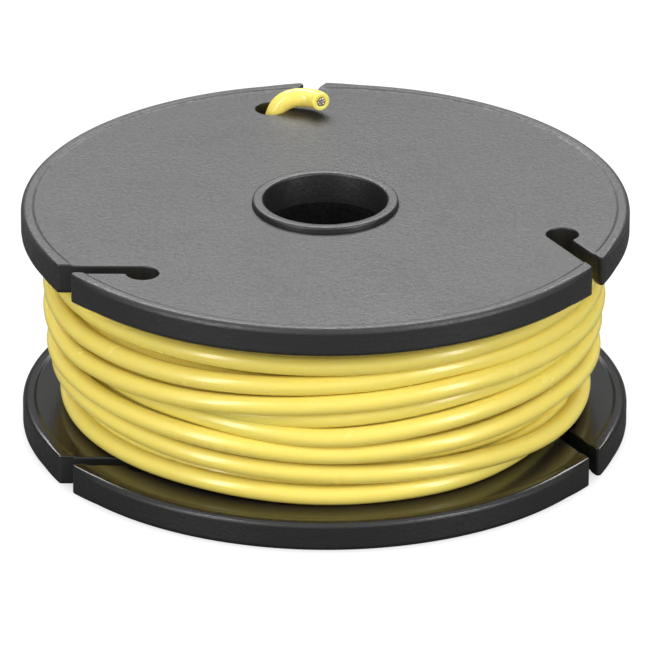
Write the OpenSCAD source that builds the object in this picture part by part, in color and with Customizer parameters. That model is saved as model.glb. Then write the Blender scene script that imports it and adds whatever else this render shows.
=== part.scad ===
// Small spool of hook-up wire: two slotted flange discs on a hub, the winding, and the wire's finish
// end, which comes up through a keyhole of the upper flange.
// Millimetres. The spool's axis is Z, and the lower flange stands on z = 0.

/* [Flanges] */
// Diameter of each flange disc
flange_d = 50; // [44:0.5:60]
// Thickness of a flange at its rim
flange_t = 2.55; // [2:0.05:3.5]
// Radius of the rim's rounded edges
rim_round = 0.4; // [0.2:0.05:0.6]
// Width of the raised band along the rim
band_w = 1; // [0.6:0.1:1.4]
// How far that band stands above the disc's faces
band_rise = 0.12; // [0.05:0.01:0.2]
// Width of the space between the flanges' rims
winding_w = 14.6; // [12:0.1:18]

/* [Keyholes] */
// Keyhole slots in each flange
key_count = 3; // [2:1:4]
// Direction in which the first slot runs out to the rim, in degrees
key_dir = 60; // [0:5:355]
// Width of a slot, a little under the wire's, so that it grips
key_slot_w = 1.4; // [1:0.1:1.5]
// Diameter of the hole at a slot's inner end
key_hole_d = 2.6; // [2.3:0.1:3]
// Distance from the spool's axis to a slot's inner side
key_offset = 12.5; // [11:0.1:13.5]
// Distance along the slot from the axis to its hole
key_reach = 14.75; // [13.5:0.05:15.5]
// Radius of the thin corner between slot and rim
key_thin_round = 0.65; // [0.3:0.05:0.8]
// Radius of the blunt corner between slot and rim
key_blunt_round = 0.3; // [0.1:0.05:0.5]
// Chamfer along the edges of slot and hole
key_chamfer = 0.15; // [0.05:0.01:0.2]

/* [Hub] */
// Bore that the spool turns on
bore_d = 10.2; // [8:0.1:10.8]
// Diameter of the hub's ends, which pass through the flanges
end_d = 12; // [11.6:0.1:13]
// Diameter of the barrel that the wire is wound on
barrel_d = 20; // [17:0.5:24]
// Wall of the barrel
barrel_wall = 1.2; // [0.8:0.1:1.6]
// Ribs between the bore's tube and the barrel
rib_count = 6; // [3:1:8]
// Thickness of a rib
rib_t = 1; // [0.6:0.1:1.4]
// How far the upper end stands above the flange's face
end_proud = 0.5; // [0.2:0.05:1]
// Chamfer on the hub's end edges
end_chamfer = 0.2; // [0.1:0.05:0.3]
// Radial play between the hub's ends and the flanges' holes
end_play = 0.05; // [0.02:0.01:0.1]

/* [Wire] */
// Diameter over the wire's insulation
wire_d = 1.6; // [1.4:0.05:1.7]
// Diameter over which the conductor's strands are bundled
conductor_d = 0.76; // [0.6:0.02:0.9]
// Strands round the middle one
outer_strands = 6; // [5:1:6]
// How far the strands stand out of the cut end
strand_proud = 0.08; // [0:0.02:0.2]
// Depth at the cut end to which insulation and strands are separate
cut_depth = 0.9; // [0.5:0.1:1.2]

/* [Winding] */
// Outer radius of the layers beneath, behind the lower turns
core_r = 20.3; // [18:0.1:21]
// How much further out the upper turns lie, over those beneath
upper_bulge = 1.05; // [0:0.05:1.3]
// Least gap between neighbouring turns of the outer layer
turn_gap = 0.42; // [0.41:0.01:0.6]
// Play between the winding and what it lies against
wire_play = 0.15; // [0.1:0.01:0.2]

/* [Hidden] */
$fn = 96;

PLASTIC = [0.16, 0.16, 0.16];
INSULATION = [0.95, 0.83, 0.25];
TINNED = [0.62, 0.58, 0.52];

flange_r = flange_d / 2;
wire_r = wire_d / 2;
overall_h = 2 * flange_t + winding_w;
floor_z = flange_t - band_rise;              // the lower flange's inner face
ceiling_z = overall_h - floor_z;             // the upper flange's inner face
top_z = overall_h - band_rise;               // the upper flange's outer face
past = 1;                                    // how far a cut runs out of what it cuts
arc_steps = 6;

// ---- Flanges ---------------------------------------------------------------------------------

// Points of an arc about a centre, from one angle to another
function arc(centre, r, from, to) =
    [for (i = [0 : arc_steps]) let (a = from + (to - from) * i / arc_steps)
        centre + r * [cos(a), sin(a)]];

// Half section of a disc: its hole, both faces, and the rounded rim with its raised bands
module disc_section() {
    hole_r = end_d / 2 + end_play;
    band_r = flange_r - band_w;
    polygon(concat(
        [[hole_r, band_rise], [band_r - band_rise, band_rise], [band_r, 0]],
        arc([flange_r - rim_round, rim_round], rim_round, -90, 0),
        arc([flange_r - rim_round, flange_t - rim_round], rim_round, 0, 90),
        [[band_r, flange_t], [band_r - band_rise, flange_t - band_rise],
         [hole_r, flange_t - band_rise]]));
}

// In the cuts below the slot runs out along +X, and side is +1 for its outer side, -1 for its inner one.

slot_out = key_offset + key_slot_w;
slot_start = key_reach + key_hole_d / 8;     // inside the hole, short of where side and hole touch

// Rounded corner between slot and rim, from the slot's side to the rim
function corner(side, slot_side, r) =
    let (y = slot_side + side * r, centre = [sqrt(pow(flange_r - r, 2) - y * y), y])
    arc(centre, r, -90 * side, atan2(y, centre.x));

// A point of the rim, moved out to where the cut ends
function beyond(p) = p * (1 + past / flange_r);

// The slot seen from above, with its blunt and its thin corner at the rim
module slot_outline() {
    blunt = corner(-1, key_offset, key_blunt_round);
    thin = corner(1, slot_out, key_thin_round);
    polygon(concat(
        [[slot_start, key_offset]], blunt,
        [beyond(blunt[arc_steps]), beyond(thin[arc_steps])],
        [for (i = [arc_steps : -1 : 0]) thin[i]], [[slot_start, slot_out]]));
}

module at_key_hole() {
    translate([key_reach, key_offset + key_hole_d / 2, 0]) children();
}

// The chamfer round a keyhole's edge, in a face at z = 0
module keyhole_chamfer() {
    reach = key_chamfer + past;
    translate([slot_start, 0, 0]) rotate([90, 0, 90]) linear_extrude(flange_r + past - slot_start)
        polygon([[key_offset, -key_chamfer], [slot_out, -key_chamfer],
                 [slot_out + reach, past], [key_offset - reach, past]]);
    at_key_hole() translate([0, 0, -key_chamfer])
        cylinder(h = reach, d1 = key_hole_d, d2 = key_hole_d + 2 * reach);
}

module keyhole() {
    translate([0, 0, -past]) linear_extrude(flange_t + 2 * past) slot_outline();
    at_key_hole() translate([0, 0, -past]) cylinder(h = flange_t + 2 * past, d = key_hole_d);
    translate([0, 0, flange_t - band_rise]) keyhole_chamfer();
    translate([0, 0, band_rise]) mirror([0, 0, 1]) keyhole_chamfer();
}

module flange() {
    difference() {
        rotate_extrude() disc_section();
        for (k = [0 : key_count - 1]) rotate(key_dir + 360 / key_count * k) keyhole();
    }
}

module lower_flange() {
    color(PLASTIC) flange();
}

// The same moulding, not turned over, so its keyholes stand above those of the lower one
module upper_flange() {
    color(PLASTIC) translate([0, 0, overall_h - flange_t]) flange();
}

// ---- Hub -------------------------------------------------------------------------------------

// Half section of the tube round the bore, from the lower flange's face to past the upper one
module tube_section() {
    bottom = band_rise;
    top = top_z + end_proud;
    polygon([[bore_d / 2, bottom + end_chamfer], [bore_d / 2 + end_chamfer, bottom], [end_d / 2, bottom],
             [end_d / 2, top - end_chamfer], [end_d / 2 - end_chamfer, top],
             [bore_d / 2 + end_chamfer, top], [bore_d / 2, top - end_chamfer]]);
}

// One moulding: the tube, the barrel whose ends are the flanges' seats, and the ribs that join them
module hub() {
    tube_wall = (end_d - bore_d) / 2;
    rib_in = bore_d / 2 + tube_wall / 2;
    rib_out = (barrel_d - barrel_wall) / 2;
    color(PLASTIC) union() {
        rotate_extrude() tube_section();
        translate([0, 0, floor_z]) linear_extrude(ceiling_z - floor_z) {
            difference() {
                circle(d = barrel_d);
                circle(d = barrel_d - 2 * barrel_wall);
            }
            for (k = [0 : rib_count - 1]) rotate(360 / rib_count * k)
                translate([rib_in, -rib_t / 2]) square([rib_out - rib_in, rib_t]);
        }
    }
}

// ---- Winding ---------------------------------------------------------------------------------

sides = 6;
rings = 24;                                  // rings in one turn
turn_flat = wire_d * cos(180 / sides);       // height of a turn's section between its flats
top_turn_z = ceiling_z - wire_play - wire_r;
room = top_turn_z - floor_z - wire_play - wire_r;
drops = floor(room / (turn_flat + turn_gap));  // steps down at the back, one between two turns
pitch = room / drops;
start_turn = 133;                            // azimuth where the winding meets the wire's tail
drop_from = 20;                              // azimuths between which a turn steps down a pitch
drop_to = 100;
last_turn = 360 * drops + 360 + 15;          // azimuth where the lowest turn goes in under the next layer
low_turn_r = (core_r + wire_play) / cos(180 / rings) + wire_r;
bulge_low_z = floor_z + 0.35 * (ceiling_z - floor_z);
bulge_high_z = floor_z + 0.52 * (ceiling_z - floor_z);

function smooth(t) = let (u = max(0, min(1, t))) u * u * (3 - 2 * u);

// How far out the layers stand at a height, beyond the lower ones
function bulge(z) = upper_bulge * smooth((z - bulge_low_z) / (bulge_high_z - bulge_low_z));

// Height of the wire at an azimuth that counts on through all turns, from the top one down
function turn_z(a) =
    let (back = floor((a - drop_from) / 360), into = a - drop_from - 360 * back)
    top_turn_z - pitch * (max(0, back - 1 + smooth(into / (drop_to - drop_from))));

// A turn's radius, clear of the layers beneath up to halfway above its own middle
function turn_r(z) = low_turn_r + bulge(z + wire_r / 2);

// Middle of the wire at an azimuth
function turn_point(a) = let (z = turn_z(a), r = turn_r(z)) [r * cos(a), r * sin(a), z];

// Ring of the wire's section about a point, flat towards the turns above and below
function turn_ring(p, a) =
    [for (k = [0 : sides - 1]) let (b = 360 / sides * k)
        p + wire_r * [cos(b) * cos(a), cos(b) * sin(a), sin(b)]];

// Faces of a tube of closed rings: two triangles for each side, and a fan over each end
function tube_faces(count, n) = concat(
    [for (i = [0 : count - 2], k = [0 : n - 1]) let (j = (k + 1) % n)
        each [[i * n + k, i * n + n + k, i * n + n + j], [i * n + k, i * n + n + j, i * n + j]]],
    [for (k = [1 : n - 2]) [0, k, k + 1]],
    [for (k = [1 : n - 2]) let (e = (count - 1) * n) [e, e + k + 1, e + k]]);

turn_steps = round((last_turn - start_turn) * rings / 360);
turn_azimuths = [for (i = [0 : turn_steps]) start_turn + (last_turn - start_turn) * i / turn_steps];

// Where the wire runs straight on past either end of the turns, for one diameter
function straight_on(a, way) = turn_point(a) + way * wire_d * [-sin(a), cos(a), 0];

winding_rings = concat(
    [turn_ring(straight_on(start_turn, -1), start_turn)],
    [for (a = turn_azimuths) turn_ring(turn_point(a), a)],
    [turn_ring(straight_on(last_turn, 1), last_turn)]);

// Least distance between the points of a turn and those of the next one down
function least_gap() = min([
    for (i = [0 : len(winding_rings) - 1], step = [rings - 2 : rings + 2])
        if (i + step < len(winding_rings))
            for (p = winding_rings[i], q = winding_rings[i + step]) norm(p - q)]);

module wire_outer_layer() {
    echo(turns = (last_turn - start_turn) / 360, least_gap_mm = least_gap());
    color(INSULATION) polyhedron(
        points = [for (ring = winding_rings) each ring],
        faces = tube_faces(len(winding_rings), sides));
}

// The layers beneath, as the solid that they fill, with room at the top for the wire's way to its keyhole
module wire_inner_layers() {
    inner = barrel_d / 2 + wire_play;
    low = floor_z + wire_play;
    high = ceiling_z - wire_play;
    shelf_z = high - wire_d - 2 * wire_play;
    shelf_r = core_r - wire_d;
    color(INSULATION) rotate_extrude() polygon(concat(
        [[inner, low], [core_r, low]],
        [for (i = [0 : arc_steps]) let (z = bulge_low_z + (bulge_high_z - bulge_low_z) * i / arc_steps)
            [core_r + bulge(z), z]],
        [[core_r + upper_bulge, shelf_z], [shelf_r, shelf_z], [shelf_r, high], [inner, high]]));
}

// ---- Finish end of the wire --------------------------------------------------------------------

// Middle of a keyhole's hole, for the one that the wire comes up through
key_middle = [key_reach * cos(key_dir) - (key_offset + key_hole_d / 2) * sin(key_dir),
              key_reach * sin(key_dir) + (key_offset + key_hole_d / 2) * cos(key_dir)];

// Route from the winding to the hole: x and y from the hole's middle, z from the top turn's
route_under = [[-6.2, 0.15, 0], [-4.2, 0.4, 0], [-2.6, 0.3, 0], [-1.5, 0.1, 0.04], [-0.7, 0, 0.32]];
// Route through the hole: x and y from its middle, z from the upper flange's inner face
route_through = [[-0.05, 0, 0.35], [0.25, 0, 1.2]];
// Route above the flange: x and y from the hole's middle, z from its outer face
route_above = [[0.42, 0, 0], [0.8, 0, 0.62], [1.4, 0, 1.02], [2.1, 0, 1.17], [2.8, -0.1, 1.2],
               [3.4, -0.35, 1.22], [3.9, -0.8, 1.26], [4.2, -1.35, 1.32]];

tail_route = concat(
    [straight_on(start_turn, -1.01), straight_on(start_turn, -2)],
    [for (p = route_under) [key_middle.x + p.x, key_middle.y + p.y, top_turn_z + p.z]],
    [for (p = route_through) [key_middle.x + p.x, key_middle.y + p.y, ceiling_z + p.z]],
    [for (p = route_above) [key_middle.x + p.x, key_middle.y + p.y, top_z + p.z]]);
tail_sides = 8;

function unit(v) = v / norm(v);

// Direction of a route at one of its points
function heading(route, i) = unit(
    route[min(i + 1, len(route) - 1)] - route[max(i - 1, 0)]);

// Sideways directions carried along a route without twisting
function carried(route, i, before) =
    let (d = heading(route, i), s = unit(before - (before * d) * d))
    i == len(route) - 1 ? [s] : concat([s], carried(route, i + 1, s));

// Rings of a round tube along a route
function tube_rings(route, r, n, first) =
    let (across = carried(route, 0, first))
    [for (i = [0 : len(route) - 1]) let (d = heading(route, i), s = across[i], t = cross(d, s))
        [for (k = [0 : n - 1]) let (b = 360 / n * (k + 0.5)) route[i] + r * (cos(b) * s + sin(b) * t)]];

// Puts what is drawn along +Z at the wire's cut end, with +Z out of it
module at_cut_end() {
    d = heading(tail_route, len(tail_route) - 1);
    translate(tail_route[len(tail_route) - 1])
        rotate([0, acos(d.z), atan2(d.y, d.x)]) children();
}

// The insulation, hollow at the cut end for the strands
module wire_tail() {
    tail_rings = tube_rings(tail_route, wire_r, tail_sides, [0, 0, 1]);
    color(INSULATION) difference() {
        polyhedron(
            points = [for (ring = tail_rings) each ring],
            faces = tube_faces(len(tail_rings), tail_sides));
        at_cut_end() translate([0, 0, -cut_depth]) cylinder(h = cut_depth + past, d = conductor_d + 0.06);
    }
}

// The bundle of strands where the wire is cut, one in the middle and the rest round it
module conductor_strands() {
    strand_d = conductor_d / 3;
    strand_play = 0.01;
    color(TINNED) at_cut_end() translate([0, 0, strand_play - cut_depth])
        for (k = [0 : outer_strands]) rotate(360 / outer_strands * k)
            translate([k == 0 ? 0 : strand_d, 0, 0])
                cylinder(h = cut_depth + strand_proud - strand_play, d = strand_d - strand_play, $fn = 24);
}

upper_flange();
lower_flange();
hub();
wire_inner_layers();
wire_outer_layer();
wire_tail();
conductor_strands();
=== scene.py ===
# %% [markdown]
# # A small spool of hook-up wire
# A hobby spool is two slotted discs on a hub, with a few metres of insulated wire wound between them.
# This lesson dresses a packed CAD model of one. The frame gives the size and the place of every part,
# and each step below replaces one part by a finer surface, or gives it its finish.

import bpy
import numpy as np
from mathutils import Matrix, Vector, geometry


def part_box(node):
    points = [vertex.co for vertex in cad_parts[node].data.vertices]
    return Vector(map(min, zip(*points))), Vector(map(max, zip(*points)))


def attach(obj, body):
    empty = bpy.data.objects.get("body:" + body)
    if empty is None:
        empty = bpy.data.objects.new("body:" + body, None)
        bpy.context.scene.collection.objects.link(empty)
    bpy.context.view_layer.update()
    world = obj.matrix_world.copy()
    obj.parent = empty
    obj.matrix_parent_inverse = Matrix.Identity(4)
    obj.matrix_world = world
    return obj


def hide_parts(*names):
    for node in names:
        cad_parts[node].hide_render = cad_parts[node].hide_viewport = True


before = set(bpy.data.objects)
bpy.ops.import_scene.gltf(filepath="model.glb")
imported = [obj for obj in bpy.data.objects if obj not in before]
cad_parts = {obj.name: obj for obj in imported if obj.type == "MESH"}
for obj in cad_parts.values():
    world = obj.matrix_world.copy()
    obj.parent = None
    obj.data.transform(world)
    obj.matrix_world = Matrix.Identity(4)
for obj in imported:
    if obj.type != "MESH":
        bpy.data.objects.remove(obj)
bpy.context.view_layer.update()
MM = 0.001
TURN = 2 * np.pi
print("CAD nodes:", sorted(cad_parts))

# %% [markdown]
# ## The camera
# A wide lens close up would make the near rim look much larger than the far one. A long lens from some way
# off keeps the ellipses of the two discs almost alike. The camera looks along +Y and a little down. Its
# place comes first, because the frame's checks ask what it sees.

# %% Camera: metres for places, radians for angles, millimetres for the lens
camera_back, camera_height = 0.7129, 0.3370
look_down, roll = 0.43164, 0.0032
sensor_width, focal_length = 36, 526.5
near_clip, far_clip = 0.05, 20
camera = bpy.data.objects.new("camera", bpy.data.cameras.new("camera"))
camera.data.sensor_width = sensor_width
camera.data.lens = focal_length
camera.data.clip_start = near_clip
camera.data.clip_end = far_clip
camera.matrix_world = (
    Matrix.Translation((0, -camera_back, camera_height))
    @ Matrix.Rotation(np.pi / 2 - look_down, 4, "X")
    @ Matrix.Rotation(roll, 4, "Z")
)
bpy.context.scene.collection.objects.link(camera)
bpy.context.scene.camera = camera
print("camera to spool:", round(camera.matrix_world.translation.length, 3), "m")

# %% [markdown]
# ## Real sizes
# The wire is the ruler: 22 AWG stranded copper in PVC is 1.6 mm thick, and everything else is in
# proportion to it. These are the CAD model's own sizes, apart from the roundings of the edges. The overall
# heights are read from the frame, so that both models end in the same planes.

# %% Sizes in millimetres, and a keyhole's direction in degrees
flange_r, flange_t = 25, 2.55
rim_round, band_w, band_rise = 0.5, 1, 0.12
key_count, key_dir = 3, 60
key_slot_w, key_hole_r, key_offset, key_reach = 1.4, 1.3, 12.5, 14.75
key_thin_round, key_blunt_round, key_edge_round = 0.3, 0.3, 0.14
bore_r, end_r, end_play = 5.1, 6, 0.05
barrel_r, barrel_wall, rib_count, rib_t = 10, 1.2, 6, 1
wire_r, conductor_r, cut_depth = 0.8, 0.38, 0.9
overall_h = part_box("upper_flange")[1].z / MM
hub_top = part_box("hub")[1].z / MM
hub_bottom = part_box("hub")[0].z / MM
floor_z = flange_t - band_rise
ceiling_z = overall_h - floor_z
top_z = overall_h - band_rise
print(f"over both rims {overall_h:.2f} mm, winding space from {floor_z:.2f} to {ceiling_z:.2f} mm")


# %% Mesh helpers
def make_mesh(name, points_mm, faces, normals=None):
    """A smooth-shaded object from points in millimetres and faces of point numbers."""
    mesh = bpy.data.meshes.new(name)
    points = np.asarray(points_mm, float) * MM
    mesh.from_pydata(points.tolist(), [], [tuple(int(i) for i in f) for f in faces])
    mesh.polygons.foreach_set("use_smooth", np.ones(len(mesh.polygons), bool))
    if normals is not None:
        mesh.normals_split_custom_set_from_vertices(np.asarray(normals, float).tolist())
    mesh.update()
    made = bpy.data.objects.new(name, mesh)
    bpy.context.scene.collection.objects.link(made)
    print(f"{name}: {len(points)} points, {len(faces)} faces")
    return made


def grid_faces(rows, columns):
    """Quads between neighbouring rows of a grid of points that is numbered row by row. Each row is a closed
    ring, so its last column joins its first."""
    i, k = np.meshgrid(np.arange(rows - 1), np.arange(columns), indexing="ij")
    j = (k + 1) % columns
    quads = [i * columns + k, i * columns + j, (i + 1) * columns + j, (i + 1) * columns + k]
    return np.stack(quads, -1).reshape(-1, 4)


def smooth_step(t):
    """Rises from 0 to 1 as t does, level at both ends: 3 t squared less 2 t cubed."""
    return t * t * (3 - 2 * t)


# %% [markdown]
# ## How the wire lies
# Nobody lays a hobby spool by hand: a machine fills it fast, and the turns of the outer layer wander, ride
# up on each other and leave gaps. A plain helix would look like a spring. Going back from its finish end,
# the wire runs anticlockwise and down. Each turn of the outer layer gets a height and a radius at a few
# azimuths, with straight lines between them that are averaged over a few degrees, so the wire never kinks.

# %% The outer layer: at each azimuth in degrees, the height and the radius of every turn in millimetres
LAY_AZIMUTHS = (130, 205, 240, 270, 300, 330, 348, 385)
TURN_HEIGHTS = (
    (16.32, 14.95, 15.20, 15.22, 15.39, 15.42, 15.40, 15.30),
    (13.60, 12.65, 12.98, 13.50, 13.90, 13.40, 13.30, 13.50),
    (11.90, 10.42, 11.05, 11.89, 12.44, 12.30, 11.90, 11.80),
    (10.20, 9.50, 9.85, 10.39, 11.05, 11.08, 11.00, 10.20),
    (8.60, 8.90, 9.20, 8.70, 9.47, 9.90, 10.20, 8.70),
    (7.00, 8.10, 7.78, 7.15, 7.39, 7.84, 7.50, 7.00),
    (5.30, 6.65, 5.80, 5.32, 4.83, 3.95, 3.80, 3.70),
    (3.35, 3.35, 3.50, 3.28, 3.31, 3.30, 3.30, 3.30),
)
TURN_RADII = (
    (22.48, 22.20, 22.20, 22.20, 22.30, 22.20, 22.20, 22.30),
    (22.40, 22.45, 22.40, 22.10, 21.70, 21.90, 22.10, 22.30),
    (22.40, 22.45, 22.40, 22.40, 22.40, 22.40, 22.30, 22.30),
    (22.20, 20.40, 20.70, 21.75, 21.50, 21.40, 21.40, 22.00),
    (22.10, 20.30, 21.05, 22.10, 22.10, 22.10, 22.10, 22.00),
    (22.00, 22.25, 22.00, 21.80, 22.00, 22.00, 22.00, 21.90),
    (21.60, 21.90, 21.60, 21.50, 21.40, 21.30, 21.20, 21.20),
    (21.20, 21.05, 21.10, 21.30, 21.10, 19.90, 19.80, 19.80),
)
outer_turns = len(TURN_HEIGHTS)
lay_knots = (np.array(LAY_AZIMUTHS) + 360 * np.arange(outer_turns)[:, None]).ravel()
lay_heights = np.array(TURN_HEIGHTS).ravel()
lay_radii = np.array(TURN_RADII).ravel()
print(f"outer layer: {outer_turns} turns, heights {lay_heights.max()} to {lay_heights.min()} mm")

# %% [markdown]
# ## The layers beneath
# Eight more layers lie under the outer one, and only their edges show, in its gaps. Each turn runs level and
# steps a pitch at the back, and the layers lie alternately half a pitch apart, in each other's grooves.
# They climb and descend in turn, inwards to the barrel, where the winding began.

# %% The inner layers: one level for each turn
inner_layers, turns_in_layer, pitch = 8, 8, 1.75
lowest_level, half_step = 3.25, 0.85
step_from, step_to = 20, 100
under_r, under_swell = 21.35, 0.8
swell_from, swell_height = 7.2, 3


def layer_radius(layer, height):
    """Radius of a layer's turns: even steps from the barrel out to just under the outer layer, which lies
    further out above the middle of the spool than below it."""
    rise = np.clip((height - swell_from) / swell_height, 0, 1)
    outermost = under_r + under_swell * smooth_step(rise)
    first = barrel_r + wire_r
    return first + (outermost - first) * (inner_layers - layer) / inner_layers


inner_knots, inner_heights, inner_radii = [], [], []
for layer in range(1, inner_layers + 1):
    levels = lowest_level + pitch * np.arange(turns_in_layer)
    levels = levels + half_step if layer % 2 else levels[::-1]
    for place, level in enumerate(levels):
        turn = outer_turns + (layer - 1) * turns_in_layer + place
        inner_knots += [360 * turn + step_to, 360 * (turn + 1) + step_from]
        inner_heights += [level, level]
        inner_radii += [layer_radius(layer, level)] * 2
last_turn = inner_knots[-1]
print(f"inner layers: {inner_layers} of {turns_in_layer} turns, {pitch} mm apart")

# %% The line of the whole winding
knots = np.concatenate([lay_knots, inner_knots])
knot_heights = np.concatenate([lay_heights, inner_heights])
knot_radii = np.concatenate([lay_radii, inner_radii])
ease_reach, ease_samples, ease_taper = 12, 9, 0.9


def eased(at, values):
    """Straight lines between the knots' values, averaged over the reach on either side of each azimuth. The
    weights follow a cosine, and are least at the ends of the reach."""
    offsets = np.linspace(-ease_reach, ease_reach, ease_samples)
    weights = 1 + np.cos(offsets / ease_reach * np.pi * ease_taper)
    lines = np.stack([np.interp(at + o, knots, values) for o in offsets])
    return weights @ lines / weights.sum()


def winding_point(azimuth):
    """Middle of the wire at an azimuth that counts on through all turns, outermost turn first."""
    r = eased(azimuth, knot_radii)
    a = np.radians(azimuth)
    return np.stack([r * np.cos(a), r * np.sin(a), eased(azimuth, knot_heights)], -1)


# The points lie closer together in the layers that show. All these numbers are degrees.
start_azimuth = 133
seen_step, under_step, hidden_step = 3, 7.5, 12
seen_to = 360 * outer_turns + step_from
under_to = seen_to + 360 * turns_in_layer
azimuths = np.concatenate([
    np.arange(start_azimuth, seen_to, seen_step),
    np.arange(seen_to, under_to, under_step),
    np.arange(under_to, last_turn + 1, hidden_step),
])
winding_line = winding_point(azimuths)
print(f"winding: {len(azimuths)} points, azimuths {azimuths[0]} to {azimuths[-1]}")

# %% [markdown]
# ## The finish end
# The last bit of wire leaves the top turn, comes up through a keyhole of the upper disc and is snipped off.
# A Bezier curve with handles would do, but points with a smooth line through them are easier to move. Each
# is counted from the middle of the keyhole, and up from the top turn, from the lower face of the disc or
# from its upper one.

# %% The finish end's route, in millimetres
key_angle = np.radians(key_dir)
key_middle = np.array([
    key_reach * np.cos(key_angle) - (key_offset + key_hole_r) * np.sin(key_angle),
    key_reach * np.sin(key_angle) + (key_offset + key_hole_r) * np.cos(key_angle),
    0,
])
ROUTE_UNDER = ((-6.2, 0.15, 0), (-4.2, 0.4, 0), (-2.6, 0.3, 0), (-1.6, 0.1, 0.06), (-0.88, 0, 0.36))
ROUTE_THROUGH = ((-0.32, 0, 0), (0.05, 0, 0.8), (0.28, 0, 1.6))
ROUTE_ABOVE = ((0.5, 0, -0.1), (0.9, 0, 0.46), (1.45, 0, 0.8), (2.1, 0, 0.98), (2.8, -0.1, 1.03),
               (3.4, -0.35, 1.08), (3.9, -0.8, 1.14), (4.2, -1.35, 1.2))
route_spacing = 0.22


def through(points, spacing):
    """A Catmull-Rom curve through the points: between two of them it is the cubic whose slope at each is the
    chord between that point's neighbours, halved. Samples lie about the spacing apart."""
    p = np.asarray(points, float)
    p = np.concatenate([[2 * p[0] - p[1]], p, [2 * p[-1] - p[-2]]])
    parts = []
    for a, b, c, d in zip(p, p[1:], p[2:], p[3:]):
        count = max(2, round(np.linalg.norm(c - b) / spacing))
        t = np.arange(count)[:, None] / count
        slope, bend, twist = c - a, 2 * a - 5 * b + 4 * c - d, 3 * b - a - 3 * c + d
        parts.append(0.5 * (2 * b + slope * t + bend * t**2 + twist * t**3))
    return np.concatenate([*parts, p[-2:-1]])


leaves, comes_from = winding_point(np.array([start_azimuth, start_azimuth + seen_step]))
onwards = (leaves - comes_from) / np.linalg.norm(leaves - comes_from)
top_turn_z = TURN_HEIGHTS[0][0]
route = [leaves + run * wire_r * onwards for run in (0, 2, 4)]
for points, level in ((ROUTE_UNDER, top_turn_z), (ROUTE_THROUGH, ceiling_z), (ROUTE_ABOVE, top_z)):
    route += [key_middle + point + np.array([0, 0, level]) for point in np.array(points)]
tail_line = through(route, route_spacing)[::-1]
print(f"finish end: {len(tail_line)} points, up to {tail_line[:, 2].max():.2f} mm high")

# %% The whole wire's line
wire_line = np.concatenate([tail_line[:-1], winding_line])

# %% [markdown]
# ## The wire as one tube
# The insulation is a round tube along that line. A curve with a bevel would make one too, but its rings are
# hard to number for a map. Here a ring stands square to the line at each point: one arm points away from
# the spool's axis, the other is square to it and to the line. At the cut end the tube turns in round the
# conductor, so that the wire is hollow there, as a snipped wire is.

# %% Rings along the line
wire_sides = 24


def ring_frames(line):
    """Heading of the line at each point, from its neighbours' difference, the arm that points away from the
    axis square to the heading, and the arm square to both, their cross product."""
    heading = np.gradient(line, axis=0)
    heading /= np.linalg.norm(heading, axis=1, keepdims=True)
    out = line * [1, 1, 0]
    out -= (out * heading).sum(1, keepdims=True) * heading
    out /= np.linalg.norm(out, axis=1, keepdims=True)
    return heading, out, np.cross(heading, out)


def ring_points(centres, out, side, radii, sides):
    """Circles about the centres: centre + radius (cos b out + sin b side), with b from the inner side round."""
    b = np.linspace(-np.pi, np.pi, sides, endpoint=False)
    spoke = np.cos(b)[None, :, None] * out[:, None] + np.sin(b)[None, :, None] * side[:, None]
    return centres[:, None] + np.asarray(radii, float)[:, None, None] * spoke


heading, out, side = ring_frames(wire_line)
cut_centre, cut_out, cut_side = wire_line[0], out[0], side[0]
cut_ahead = -heading[0]

# %% The insulation, from the bottom of its cut end outwards and back to the winding's start
# Each pair says how far in front of the wire's end a ring lies, and its radius.
CUT_PROFILE = (
    (-cut_depth, 0.02),
    (-cut_depth, conductor_r + 0.01),
    (0, conductor_r + 0.015),
    (0.03, conductor_r + 0.05),
    (0.035, wire_r - 0.14),
    (0.02, wire_r - 0.06),
    (-0.03, wire_r - 0.015),
)
cut_places, cut_radii = np.array(CUT_PROFILE).T
cut_count = len(CUT_PROFILE)
cut_centres = cut_centre + cut_places[:, None] * cut_ahead
cut_arms = [np.repeat([arm], cut_count, 0) for arm in (cut_out, cut_side)]
cut_rings = ring_points(cut_centres, *cut_arms, cut_radii, wire_sides)
wire_radii = np.full(len(wire_line) - 1, wire_r)
wire_rings = ring_points(wire_line[1:], out[1:], side[1:], wire_radii, wire_sides)
rings = np.concatenate([cut_rings, wire_rings])
wire_faces = grid_faces(len(rings), wire_sides).tolist()
last_ring = (len(rings) - 1) * wire_sides
wire_faces += [list(range(wire_sides))[::-1], list(range(last_ring, last_ring + wire_sides))]
wire = make_mesh("wire", rings.reshape(-1, 3), wire_faces)

# %% The wire's own map: round it across, from 0 to 1, and along it in metres
along = np.cumsum(np.linalg.norm(np.diff(wire_line, axis=0), axis=1)) * MM
along = np.concatenate([np.zeros(cut_count), along])
corner_points = np.zeros(len(wire.data.loops), int)
wire.data.loops.foreach_get("vertex_index", corner_points)
across = (corner_points % wire_sides) / wire_sides
quad_corners = 4 * (len(rings) - 1) * wire_sides
wrapped = np.arange(quad_corners).reshape(-1, 4)[wire_sides - 1::wire_sides, 1:3].ravel()
across[wrapped] = 1
uv = np.stack([across, along[corner_points // wire_sides]], -1)
wire.data.uv_layers.new(name="along").data.foreach_set("uv", uv.astype(np.float32).ravel())
print(f"the wire's map: {len(uv)} corners, up to {along[-1]:.2f} m along")

# %% [markdown]
# ## The conductor
# Seven tinned strands are twisted together inside the insulation, and the cutter leaves them not quite even.
# One grey plug would do from afar. Here each strand is a thin tube of its own that turns slowly about the
# middle one, from the bottom of the cut end to a little in front of it.

# %% Seven strands at the cut end
strand_r, strand_sides, strand_rings = 0.12, 12, 9
strand_gap, strand_round = 0.008, 0.02
strand_inside = 0.86 * cut_depth
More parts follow.
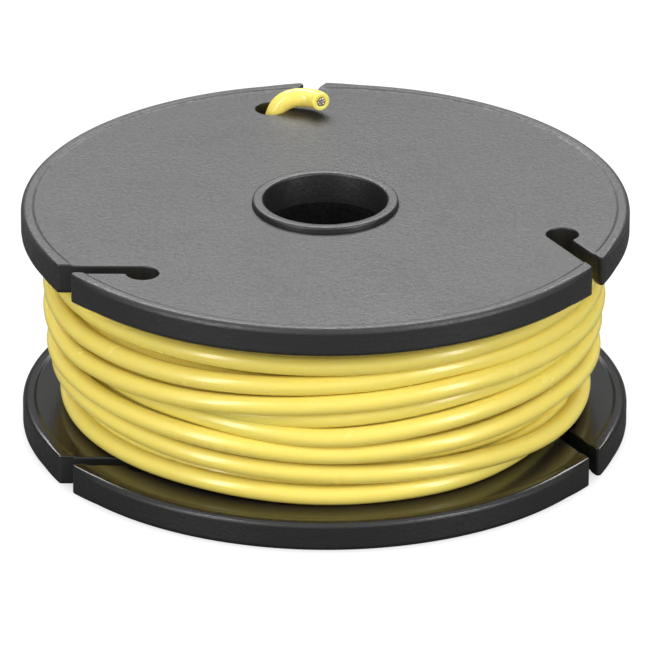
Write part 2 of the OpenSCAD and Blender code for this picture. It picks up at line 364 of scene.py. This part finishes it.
# The share of a turn that they wind about each other, how far each one's end stands out, and the radius at
# which a strand is closed.
lay_turn = 0.35
strand_ends = (0.10, 0.05, 0.09, 0.03, 0.12, 0.06, 0.02)
strand_count = len(strand_ends)
pinched = 0.001


def strand(number):
    """Rings of one strand: number 0 runs straight, and the others wind about it, one sixth of a turn apart.
    The last two rings shrink, so that the end is a little rounded."""
    t = np.linspace(0, 1, strand_rings)
    ahead = -strand_inside + (strand_inside + strand_ends[number]) * t
    ahead = np.append(ahead, [ahead[-1] + strand_round, ahead[-1] + 1.05 * strand_round])
    angle = TURN * (number / (strand_count - 1) + lay_turn * ahead / cut_depth)
    swing = 0 if number == 0 else 2 * strand_r + strand_gap
    arms = swing * (np.cos(angle)[:, None] * cut_out + np.sin(angle)[:, None] * cut_side)
    centres = cut_centre + ahead[:, None] * cut_ahead + arms
    radii = np.full(len(ahead), strand_r)
    radii[[0, -2, -1]] = [pinched, 0.9 * strand_r, pinched]
    side_arms, out_arms = (np.repeat([arm], len(ahead), 0) for arm in (cut_side, cut_out))
    return ring_points(centres, side_arms, out_arms, radii, strand_sides)


strand_points = np.concatenate([strand(n).reshape(-1, 3) for n in range(strand_count)])
per_strand = len(strand_points) // strand_count
one_strand = grid_faces(per_strand // strand_sides, strand_sides)
caps = [list(range(strand_sides))[::-1], list(range(per_strand - strand_sides, per_strand))]
strand_faces = []
for n in range(strand_count):
    strand_faces += [[i + n * per_strand for i in f] for f in one_strand.tolist() + caps]
strands = make_mesh("strands", strand_points, strand_faces)

# %% [markdown]
# ## A flange disc
# Each disc is moulded with three keyholes: a slot that runs in aslant from the rim, to a round hole that is
# tangent to its inner side. A Boolean would leave ragged edges. Instead the outline, slots included, is
# drawn once as a line of points, and the rounded edges are that line moved inwards step by step.

# %% Pieces of the disc's outline, in a keyhole's own frame, where its slot runs out along +X
def arc(centre, r, from_angle, to_angle, steps):
    """Points of a circle between two angles in radians: centre + r (cos a, sin a)."""
    a = np.linspace(from_angle, to_angle, steps + 1)
    return np.asarray(centre) + r * np.stack([np.cos(a), np.sin(a)], -1)


slot_out = key_offset + key_slot_w
# The radii of the circles on which the band's step rises.
band_steps = flange_r - band_w + np.array([-0.2, -0.13, -0.06, 0.01, 0.08, 0.15])
corner_steps, hole_steps, lip_steps, rim_steps = 8, 34, 6, 118
side_points, clear_of_band = 6, 0.5


def rim_corner(way, y_side, r):
    """Centre of the rounded corner between rim and slot side, r from the side and r short of the rim's
    radius, and the angle at which the corner meets the rim."""
    y = y_side + way * r
    centre = np.array([np.sqrt((flange_r - r) ** 2 - y * y), y])
    return centre, np.arctan2(centre[1], centre[0])


def slot_side(inset_y, x_from, x_to):
    """X of the points along a slot's side: even steps up to the band, then the places where the moved-in
    line crosses the circles of the band's step, each at the root of its radius squared less y squared."""
    crossings = np.sqrt(band_steps**2 - inset_y**2)
    inner = np.linspace(x_from, crossings[0] - clear_of_band, side_points)
    x = np.concatenate([inner, crossings])
    return x[x < x_to - 1e-6]


blunt_centre, blunt_angle = rim_corner(-1, key_offset, key_blunt_round)
thin_centre, thin_angle = rim_corner(1, slot_out, key_thin_round)
hole_centre = np.array([key_reach, key_offset + key_hole_r])
# The lip between hole and slot is rounded by a small circle that touches both.
lip_r = 0.25
lip_up = slot_out + lip_r - hole_centre[1]
lip_centre = hole_centre + [np.sqrt((key_hole_r + lip_r) ** 2 - lip_up**2), lip_up]
lip_angle = np.arctan2(*(lip_centre - hole_centre)[::-1])

# %% One keyhole's line, from the blunt corner round the hole to the thin corner
inner_x = slot_side(key_offset - key_edge_round, key_reach, blunt_centre[0])[::-1]
outer_x = slot_side(slot_out + key_edge_round, lip_centre[0], thin_centre[0])
keyhole_pieces = [
    arc(blunt_centre, key_blunt_round, blunt_angle, np.pi / 2, corner_steps),
    np.stack([inner_x, np.full(len(inner_x), key_offset)], -1),
    arc(hole_centre, key_hole_r, -np.pi / 2, lip_angle - TURN, hole_steps)[1:],
    arc(lip_centre, lip_r, lip_angle - np.pi, -np.pi / 2, lip_steps)[1:-1],
    np.stack([outer_x, np.full(len(outer_x), slot_out)], -1),
    arc(thin_centre, key_thin_round, -np.pi / 2, thin_angle, corner_steps),
]
keyhole_line = np.concatenate(keyhole_pieces)
print(f"one keyhole: {len(keyhole_line)} points, slot {key_slot_w} mm, hole {2 * key_hole_r} mm")


# %% The disc's outline: three keyholes joined by stretches of rim
def turned(points, angle):
    """Points turned about the spool's axis: (x cos a - y sin a, x sin a + y cos a)."""
    c, s = np.cos(angle), np.sin(angle)
    return points @ np.array([[c, s], [-s, c]])


sector = TURN / key_count
rim_arc = arc((0, 0), flange_r, thin_angle, blunt_angle + sector, rim_steps)[1:-1]
one_sector = np.concatenate([keyhole_line, rim_arc])
outline = np.concatenate([turned(one_sector, key_angle + sector * k) for k in range(key_count)])
print(f"outline: {len(outline)} points")


# %% Which way is inwards at each point, and how round the edge is there
def unit(vectors):
    """The vectors, each divided by its length."""
    return vectors / np.linalg.norm(vectors, axis=1, keepdims=True)


# The tangent halves the angle between the line ahead and the line behind.
tangent = unit(unit(np.roll(outline, -1, 0) - outline) + unit(outline - np.roll(outline, 1, 0)))
inwards = np.stack([-tangent[:, 1], tangent[:, 0]], -1)

# The radius is the rim's own, and falls to the slot's over the last few points before a slot.
fade_points = 7
from_slot = np.minimum(np.arange(len(rim_arc)), np.arange(len(rim_arc))[::-1]) + 1
edge_round = np.full(len(one_sector), key_edge_round)
edge_round[len(keyhole_line):] += (rim_round - key_edge_round) * np.clip(from_slot / fade_points, 0, 1)
edge_round = np.tile(edge_round, key_count)
print(f"edges are rounded by {edge_round.min()} to {edge_round.max()} mm")


# %% Height of a disc's face at each radius
step_start, step_w = band_steps[0], band_steps[-1] - band_steps[0]
edge_ring_count = 6
print(f"the rim's band stands {band_rise} mm above the face, over a step {step_w:.2f} mm wide")


def across_step(radius):
    """How far across the band's step a radius lies, from 0 at its inner edge to 1 at its outer one."""
    return np.clip((radius - step_start) / step_w, 0, 1)


def face_rise(radius):
    """How far the rim's band stands above the face: nothing up to its inner edge, then a smooth rise."""
    return band_rise * smooth_step(across_step(radius))


def face_normals(xy, way):
    """The face leans back by the slope of that rise, 6 t (1 - t) times its height over its width."""
    radius = np.hypot(*xy.T)
    t = across_step(radius)
    slope = 6 * t * (1 - t) * band_rise / step_w
    lean = -xy / radius[:, None] * slope[:, None]
    return unit(np.column_stack([lean, np.full(len(xy), way)]))


def edge_rings(way):
    """Rings from the wall to the face: the outline moved in by f (1 - cos q), and f (1 - sin q) short of the
    face's height, with q from 0 to a right angle and f the edge's radius. Also the normals."""
    points, normals = [], []
    for q in np.linspace(0, np.pi / 2, edge_ring_count):
        xy = outline + inwards * (edge_round * (1 - np.cos(q)))[:, None]
        rise = face_rise(np.hypot(*xy.T)) - band_rise - edge_round * (1 - np.sin(q))
        points.append(np.column_stack([xy, way * (flange_t / 2 + rise)]))
        normals.append(np.column_stack([-inwards * np.cos(q), np.full(len(xy), way * np.sin(q))]))
    return points, normals


# %% [markdown]
# ## The disc's faces
# The face inside the moved-in line is flat, except for the small step of the band along the rim. One large
# polygon would shade badly round the slots. Arcs from slot to slot mark the step instead, and a constrained
# Delaunay triangulation, which keeps every given line as an edge, fills the face between the edge's ring,
# the arcs and the hub's hole.

# %% Where the band's arcs end on the slots' sides, as places in one sector's outline
side_start = corner_steps + 1
out_side_start = side_start + len(inner_x) + hole_steps + lip_steps - 1
side_radii = np.hypot(inner_x, key_offset - key_edge_round)
out_side_radii = np.hypot(outer_x, slot_out + key_edge_round)
arc_ends = []
for r in band_steps:
    leaves_at = out_side_start + int(np.argmin(abs(out_side_radii - r)))
    meets_at = side_start + int(np.argmin(abs(side_radii - r)))
    arc_ends.append((leaves_at, meets_at))
band_arc_steps, hub_hole_steps = 110, 96
hub_hole = arc((0, 0), end_r + end_play, 0, TURN, hub_hole_steps)[:-1]
print("the band's arcs run between outline points", arc_ends[0], "to", arc_ends[-1])


# %% Filling a face
def loop_edges(numbers):
    """The edges that join the numbered points into a closed loop."""
    return list(zip(numbers, numbers[1:] + numbers[:1]))


def face_fill(ring):
    """Points (x, y) added inside a face's ring, and triangles over the ring's points followed by those. The
    triangles inside the hub's hole are left out."""
    points = [tuple(p) for p in ring]
    edges = loop_edges(list(range(len(ring))))
    for k in range(key_count):
        for radius, (leaves, meets) in zip(band_steps, arc_ends):
            start = (k * len(one_sector) + leaves) % len(ring)
            end = ((k + 1) * len(one_sector) + meets) % len(ring)
            from_angle, to_angle = np.arctan2(ring[[start, end], 1], ring[[start, end], 0])
            to_angle += TURN * (to_angle < from_angle)
            between = arc((0, 0), radius, from_angle, to_angle, band_arc_steps)[1:-1]
            numbers = [start, *range(len(points), len(points) + len(between)), end]
            points += [tuple(p) for p in between]
            edges += list(zip(numbers, numbers[1:]))
    hole_numbers = list(range(len(points), len(points) + len(hub_hole)))
    points += [tuple(p) for p in hub_hole]
    edges += loop_edges(hole_numbers)
    _, _, found, came_from, _, _ = geometry.delaunay_2d_cdt([Vector(p) for p in points], edges, [], 1, 1e-6)
    number_of = [origins[0] for origins in came_from]
    triangles = [[number_of[v] for v in face] for face in found]
    triangles = [t for t in triangles if min(t) < hole_numbers[0]]
    return np.array(points[len(ring):]), triangles, hole_numbers


# %% One disc, closed
def disc(name, middle_z):
    """A whole disc about a height: the wall between its two edge rings, both faces, and the hole's wall."""
    down_points, down_normals = edge_rings(-1)
    up_points, up_normals = edge_rings(1)
    rows = down_points[::-1] + up_points
    points, normals = list(rows), down_normals[::-1] + up_normals
    count = len(outline)
    faces = grid_faces(len(rows), count).tolist()
    total, holes = len(rows) * count, []
    for way, row in ((-1, 0), (1, len(rows) - 1)):
        ring_start = row * count
        added, triangles, hole_numbers = face_fill(rows[row][:, :2])
        number = np.concatenate([ring_start + np.arange(count), total + np.arange(len(added))])
        heights = way * (flange_t / 2 - band_rise + face_rise(np.hypot(*added.T)))
        points.append(np.column_stack([added, heights]))
        normals.append(face_normals(added, way))
        faces += number[np.array(triangles)[:, ::way]].tolist()
        holes.append(number[hole_numbers])
        total += len(added)
    low, high = holes
    faces += np.column_stack([low, high, np.roll(high, -1), np.roll(low, -1)]).tolist()
    return make_mesh(name, np.concatenate(points) + [0, 0, middle_z], faces, np.concatenate(normals))


lower_disc = disc("lower_disc", flange_t / 2)
upper_disc = disc("upper_disc", overall_h - flange_t / 2)

# %% [markdown]
# ## The hub
# One moulding holds the discs: a tube with the bore through it, and a barrel round it that the wire is
# wound on, joined by ribs. Only the tube's upper end shows, as a low ring round the bore. A Screw modifier
# could turn a profile about the axis, but the same turn is one line of numpy, and it closes by itself. The
# ribs are plain walls.

# %% A profile turned about the axis
def turned_profile(profile, steps):
    """A closed profile of (radius, height) points carried round the axis: x = r cos a, y = r sin a. The last
    point's row joins the first one's."""
    a = np.linspace(0, TURN, steps, endpoint=False)
    r, z = np.asarray(profile, float).T
    points = np.stack([r[:, None] * np.cos(a), r[:, None] * np.sin(a), np.repeat(z[:, None], steps, 1)], -1)
    return points.reshape(-1, 3), grid_faces(len(profile) + 1, steps) % (len(profile) * steps)


def rounded(centre, r, from_angle, steps=4):
    """A quarter circle of (radius, height) points that rounds a corner, from an angle in quarter turns."""
    angles = (from_angle + np.linspace(0, 1, steps + 1)) * np.pi / 2
    return [(centre[0] + r * np.cos(a), centre[1] + r * np.sin(a)) for a in angles]


# %% The hub: tube, barrel and ribs
end_round, top_steps, hub_steps, crease_angle = 0.2, 8, 192, 40
tube_in, tube_out = bore_r + end_round, end_r - end_round
tube_low, tube_high = hub_bottom + end_round, hub_top - end_round
tube = [
    *rounded((tube_out, tube_low), end_round, 3),
    *rounded((tube_out, tube_high), end_round, 0, top_steps),
    *rounded((tube_in, tube_high), end_round, 1),
    *rounded((tube_in, tube_low), end_round, 2),
]
barrel_in = barrel_r - barrel_wall
barrel = [(barrel_r, floor_z), (barrel_r, ceiling_z), (barrel_in, ceiling_z), (barrel_in, floor_z)]
hub_parts = [turned_profile(profile, hub_steps) for profile in (tube, barrel)]
rib_in, rib_out = (bore_r + end_r) / 2, barrel_r - barrel_wall / 2
rib_box = np.array([
    (x, y, z) for x in (rib_in, rib_out) for y in (-rib_t / 2, rib_t / 2) for z in (floor_z, ceiling_z)])
box_faces = np.array([(0, 1, 3, 2), (4, 6, 7, 5), (0, 4, 5, 1), (2, 3, 7, 6), (0, 2, 6, 4), (1, 5, 7, 3)])
for k in range(rib_count):
    corners = np.column_stack([turned(rib_box[:, :2], TURN / rib_count * k), rib_box[:, 2]])
    hub_parts.append((corners, box_faces))
first_numbers = np.cumsum([0] + [len(points) for points, _ in hub_parts])
hub_points = np.concatenate([points for points, _ in hub_parts])
hub_faces = np.concatenate([faces + first for (_, faces), first in zip(hub_parts, first_numbers)])
hub = make_mesh("hub_moulding", hub_points, hub_faces)
hub.data.set_sharp_from_angle(angle=np.radians(crease_angle))

# %% [markdown]
# ## Finishes
# A finish is a graph of nodes. Written as Python, a line of maths on sockets reads like the formula that it
# stands for, so one small class wraps a socket and turns + - * into Math nodes, and one method makes any
# other node.

# %% A number on a socket
class Number:
    """An output of a node. Where it holds a number, sums, differences and products of it are Math nodes."""

    def __init__(self, finish, socket):
        self.finish, self.socket = finish, socket

    def _math(self, operation, first, second):
        """A Math node on two numbers or sockets."""
        return self.finish.node("ShaderNodeMath", {"operation": operation}, {0: first, 1: second})

    def __add__(self, other):
        return self._math("ADD", self, other)

    def __sub__(self, other):
        return self._math("SUBTRACT", self, other)

    def __rsub__(self, other):
        return self._math("SUBTRACT", other, self)

    def __mul__(self, other):
        return self._math("MULTIPLY", self, other)

    __radd__, __rmul__ = __add__, __mul__


# %% A graph of shader nodes
class Finish:
    """One material or world, and the way to add nodes to it."""

    def __init__(self, name, group=bpy.data.materials):
        self.made = group.new(name)
        self.made.use_nodes = True
        self.tree = self.made.node_tree
        self.tree.nodes.clear()

    def node(self, kind, settings=None, inputs=None, out=0):
        """Adds a node: its settings first, then its sockets' values or links, by name or number."""
        node = self.tree.nodes.new(kind)
        for key, value in (settings or {}).items():
            setattr(node, key, value)
        for key, value in (inputs or {}).items():
            if isinstance(value, Number):
                self.tree.links.new(value.socket, node.inputs[key])
            else:
                node.inputs[key].default_value = value
        return Number(self, node.outputs[out]) if node.outputs else None

    def noise(self, place, size_mm, detail, roughness):
        """Noise from 0 to 1, whose lumps are about the size across, with finer ones in it."""
        return self.node("ShaderNodeTexNoise", None, {
            "Vector": place, "Scale": 1 / (size_mm * MM), "Detail": detail, "Roughness": roughness})

    def blend(self, amount, first, second):
        """From the first colour to the second as the amount goes from 0 to 1."""
        return self.node("ShaderNodeMix", {"data_type": "RGBA"}, {0: amount, 6: first, 7: second}, out=2)

    def levels(self, value, low, high):
        """The value, stretched so that low gives 0 and high gives 1."""
        return self.node("ShaderNodeMapRange", None, {"Value": value, "From Min": low, "From Max": high})

    def bump(self, height, depth_mm, strength):
        """Normals that lean as if the surface rose by the depth where the height goes from 0 to 1."""
        return self.node("ShaderNodeBump", None, {
            "Height": height, "Distance": depth_mm * MM, "Strength": strength})

    def surface(self, sockets):
        """The finished material, from the sockets of one Principled shader."""
        shader = self.node("ShaderNodeBsdfPrincipled", None, sockets)
        self.node("ShaderNodeOutputMaterial", None, {"Surface": shader})
        return self.made


def on_object(finish):
    """The place on the object, in metres."""
    return finish.node("ShaderNodeTexCoord", out="Object")


print("a finish can add:", [name for name in vars(Finish) if not name.startswith("_")])

# %% [markdown]
# ## Black moulded plastic
# The mould was spark-eroded, so the black polystyrene comes out of it with a fine, even grain that scatters
# the light. An image of such a grain would have to be fitted to every face, so three sizes of noise make it.
# It is a third of a millimetre across and a few hundredths deep. It goes into the bump, and a little into
# the colour and the roughness, because its peaks are rubbed smoother than its pits.

# %% Moulded plastic
def moulded_plastic():
    """Grained outside the winding space, smooth inside it: the height tells them apart. Grain sizes are in
    millimetres."""
    grain_size, fine_size, cloud_size = 0.34, 0.12, 6
    in_pits, on_peaks = (0.006, 0.006, 0.0055, 1), (0.014, 0.0145, 0.014, 1)
    f = Finish("moulded_plastic")
    place = on_object(f)
    height = f.node("ShaderNodeSeparateXYZ", None, {0: place}, out="Z")
    from_middle = f.node("ShaderNodeMath", {"operation": "ABSOLUTE"}, {0: height - overall_h / 2 * MM})
    inner_face = ceiling_z - overall_h / 2
    outside = f.levels(from_middle, (inner_face + 0.05) * MM, (inner_face + 0.2) * MM)
    grain = f.noise(place, grain_size, 3, 0.6)
    fine = f.noise(place, fine_size, 2, 0.6)
    cloud = f.noise(place, cloud_size, 3, 0.5)
    rubbed = f.levels(grain * 0.7 + cloud * 0.3, 0.38, 0.62)
    colour = f.blend(rubbed, in_pits, on_peaks)
    roughness = 0.17 + outside * (0.37 - rubbed * 0.19)
    relief = (grain * 0.7 + fine * 0.3) * (0.15 + outside * 0.85)
    return f.surface({
        "Base Color": colour,
        "Roughness": roughness,
        "IOR": 1.59,
        "Normal": f.bump(relief, 0.06, 0.7),
    })


plastic = moulded_plastic()
print(plastic.name, "has", len(plastic.node_tree.nodes), "nodes")

# %% [markdown]
# ## Yellow PVC
# Hook-up wire is extruded PVC: evenly coloured, half glossy, with very fine lines along its length from the
# die and faint dull patches where it rubbed on its neighbours. The lines follow the wire, so they read its
# own map. Light goes a little way into PVC, which subsurface scattering gives.

# %% Insulation
def insulation():
    """Two near yellows and paler scuffs by noise on the object. The fine lines are noise on the wire's map,
    which is drawn out: 60 lumps to a round of the wire, and 250 to a metre. Sizes are in millimetres."""
    scuff_size, shade_size, ripple_size = 2.4, 9, 0.5
    deep, pale, scuffed = (0.86, 0.70, 0.135, 1), (0.90, 0.74, 0.165, 1), (0.9, 0.82, 0.35, 1)
    f = Finish("yellow_pvc")
    place = on_object(f)
    own_map = f.node("ShaderNodeUVMap", {"uv_map": "along"})
    drawn_out = f.node("ShaderNodeMapping", None, {"Vector": own_map, "Scale": (60, 250, 1)})
    lines = f.noise(drawn_out, 1 / MM, 2, 0.5)
    scuff = f.levels(f.noise(place, scuff_size, 4, 0.6), 0.45, 0.85)
    shade = f.noise(place, shade_size, 2, 0.5)
    colour = f.blend(scuff * 0.08, f.blend(shade, deep, pale), scuffed)
    height = lines * 0.5 + f.noise(place, ripple_size, 2, 0.5) * 0.5
    return f.surface({
        "Base Color": colour,
        "Roughness": 0.24 + scuff * 0.06,
        "IOR": 1.53,
        "Subsurface Weight": 0.45,
        "Subsurface Radius": (1, 0.7, 0.22),
        "Subsurface Scale": MM,
        "Normal": f.bump(height, 0.006, 0.5),
    })


pvc = insulation()
print(pvc.name, "has", len(pvc.node_tree.nodes), "nodes")

# %% [markdown]
# ## Tinned copper
# The strands are copper in a thin coat of tin, and where they are cut the copper shows, so the ends look
# grey-brown and blotched. Two metals with a mask between them would need its edge drawn. One metal whose
# colour and roughness follow the same noise is enough for ends a few tenths of a millimetre across.

# %% Tinned strands
def tinned_strands():
    """A metal between brown and pale grey by noise, as rough as it is pale, with small bumps. Sizes are in
    millimetres."""
    blotch_size, nick_size = 0.08, 0.05
    brown, grey = (0.36, 0.31, 0.25, 1), (0.68, 0.63, 0.55, 1)
    f = Finish("tinned_strands")
    place = on_object(f)
    dull = f.noise(place, blotch_size, 3, 0.6)
    colour = f.blend(dull, brown, grey)
    return f.surface({
        "Base Color": colour,
        "Metallic": 1.0,
        "Roughness": 0.32 + dull * 0.2,
        "Normal": f.bump(f.noise(place, nick_size, 2, 0.5), 0.01, 0.5),
    })


tinned = tinned_strands()
print(tinned.name, "has", len(tinned.node_tree.nodes), "nodes")

# %% [markdown]
# ## What each piece stands for
# Every new piece gets its finish, rides on the spool's one body and hides the CAD part that it replaces. The
# CAD parts get the same finishes, in case one is shown again.

# %% Finishing, riding and replacing
for piece, finish, slot, nodes in (
    (upper_disc, plastic, "moulded_plastic", ["upper_flange"]),
    (lower_disc, plastic, "moulded_plastic", ["lower_flange"]),
    (hub, plastic, "moulded_plastic", ["hub"]),
    (wire, pvc, "insulation", ["wire_inner_layers", "wire_outer_layer", "wire_tail"]),
    (strands, tinned, "tinned_strands", ["conductor_strands"]),
):
    piece.data.materials.append(finish)
    for node in nodes:
        cad_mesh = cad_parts[node].data
        cad_mesh.materials.clear()
        cad_mesh.materials.append(finish)
    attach(piece, "root")
    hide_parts(*nodes)
    print(piece.name, "replaces", nodes)

# %% [markdown]
# ## Floor and light
# The spool stands on a plain white floor. Two tall soft boxes in front, left and right, give each turn of the
# wire its two highlights, and a wide one behind and above skims the top disc, which makes its black grain look
# grey. A white floor would also light the black rims from below, so it is white only where it is seen, and
# nearly black as a source of light. A shadow of the spool is painted into its white: it is dark right under the
# spool, and in reflections it stays dark for some way round it.

# %% Floor
def ray_kinds(finish):
    """Three numbers, each 1 for its kind of ray and else 0: from the camera, through glass, and mirrored."""
    kinds = ("Is Camera Ray", "Is Transmission Ray", "Is Glossy Ray")
    return [finish.node("ShaderNodeLightPath", out=kind) for kind in kinds]


def white_floor():
    """White to the camera from the flanges' rim outwards, with a painted shadow that makes it dark right under
    the spool, so that no white shines through its slots either. In reflections the painted shadow reaches
    further out, and the floor gets white beyond it. Distances are in metres."""
    f = Finish("white_floor")
    away = f.node("ShaderNodeVectorMath", {"operation": "LENGTH"}, {0: on_object(f)}, out="Value")
    # Painted shadow on the floor: its glow is nil within the first radius from the spool's axis, and full
    # beyond the second, just outside the rim.
    painted_shadow_r, painted_shadow_edge_r = 0.021, 0.0255
    outside_painted_shadow = f.levels(away, painted_shadow_r, painted_shadow_edge_r)
    # Painted shadow in reflections: the glow that reflections see fades in only from 8 cm to half a metre from
    # the spool.
    outside_painted_reflected_shadow = f.levels(away, 0.08, 0.5)
    camera_ray, transmission_ray, glossy_ray = ray_kinds(f)
    seen = (camera_ray + transmission_ray) * outside_painted_shadow + glossy_ray * outside_painted_reflected_shadow
    return f.surface({
        "Base Color": (0.12, 0.12, 0.12, 1),
        "Roughness": 0.9,
        "Specular IOR Level": 0.0,
        "Emission Color": (1, 1, 1, 1),
        "Emission Strength": seen * 0.92,
    })


floor_half = 3000
floor_corners = [(x * floor_half, y * floor_half, 0) for x, y in ((-1, -1), (1, -1), (1, 1), (-1, 1))]
floor = make_mesh("floor", floor_corners, [(0, 1, 2, 3)])
floor.data.materials.append(white_floor())


# %% Lamps
def soft_box(name, azimuth, elevation, distance, size, power):
    """A rectangular lamp that looks at the spool's middle. For an azimuth a and an elevation e in degrees it
    lies in the direction (cos a cos e, sin a cos e, sin e). Lengths are in metres, and power in watts."""
    lamp = bpy.data.objects.new(name, bpy.data.lights.new(name, "AREA"))
    lamp.data.shape = "RECTANGLE"
    lamp.data.size, lamp.data.size_y = size
    lamp.data.energy = power
    a, e = np.radians(azimuth), np.radians(elevation)
    away = Vector((np.cos(a) * np.cos(e), np.sin(a) * np.cos(e), np.sin(e)))
    lamp.location = spool_middle + distance * away
    lamp.rotation_euler = away.to_track_quat("Z", "Y").to_euler()
    lamp.visible_camera = False
    bpy.context.scene.collection.objects.link(lamp)
    print(f"{name}: {power} W at {distance} m")


spool_middle = Vector((0, 0, 0.01))
soft_box("left_box", 224, 23, 0.8, (0.08, 0.7), 3.5)
soft_box("right_box", 322, 23, 0.8, (0.08, 0.7), 3.5)
soft_box("back_box", 90, 46, 0.9, (0.95, 0.4), 9.0)

# %% World
front_light, back_light, top_light = 0.78, 0.15, 0.95


def room():
    """White to the camera. As light it goes from the front's strength to the back's at the horizon, and to
    the top's overhead. A direction's y is -1 in front and 1 behind, and its z is 1 overhead."""
    f = Finish("room", bpy.data.worlds)
    direction = f.node("ShaderNodeTexCoord")
    along_y, up = (f.node("ShaderNodeSeparateXYZ", None, {0: direction}, out=axis) for axis in "YZ")
    overhead = f.levels(up, 0.35, 0.95)
    low = front_light - f.levels(along_y, -0.8, 0.3) * (front_light - back_light)
    lit = low + overhead * (top_light - low)
    camera_ray, transmission_ray, glossy_ray = ray_kinds(f)
    seen = camera_ray + transmission_ray + glossy_ray * overhead
    strength = f.node("ShaderNodeMath", {"operation": "MAXIMUM"}, {0: seen, 1: lit})
    sky = f.node("ShaderNodeBackground", None, {"Color": (1, 1, 1, 1), "Strength": strength})
    f.node("ShaderNodeOutputWorld", None, {"Surface": sky})
    return f.made


bpy.context.scene.world = room()
bpy.context.scene.view_settings.view_transform = "Standard"
print(f"world: {front_light} in front, {back_light} behind, {top_light} overhead")

# %% [markdown]
# ## The model's box
# The dressed model has to stay in the CAD model's box.
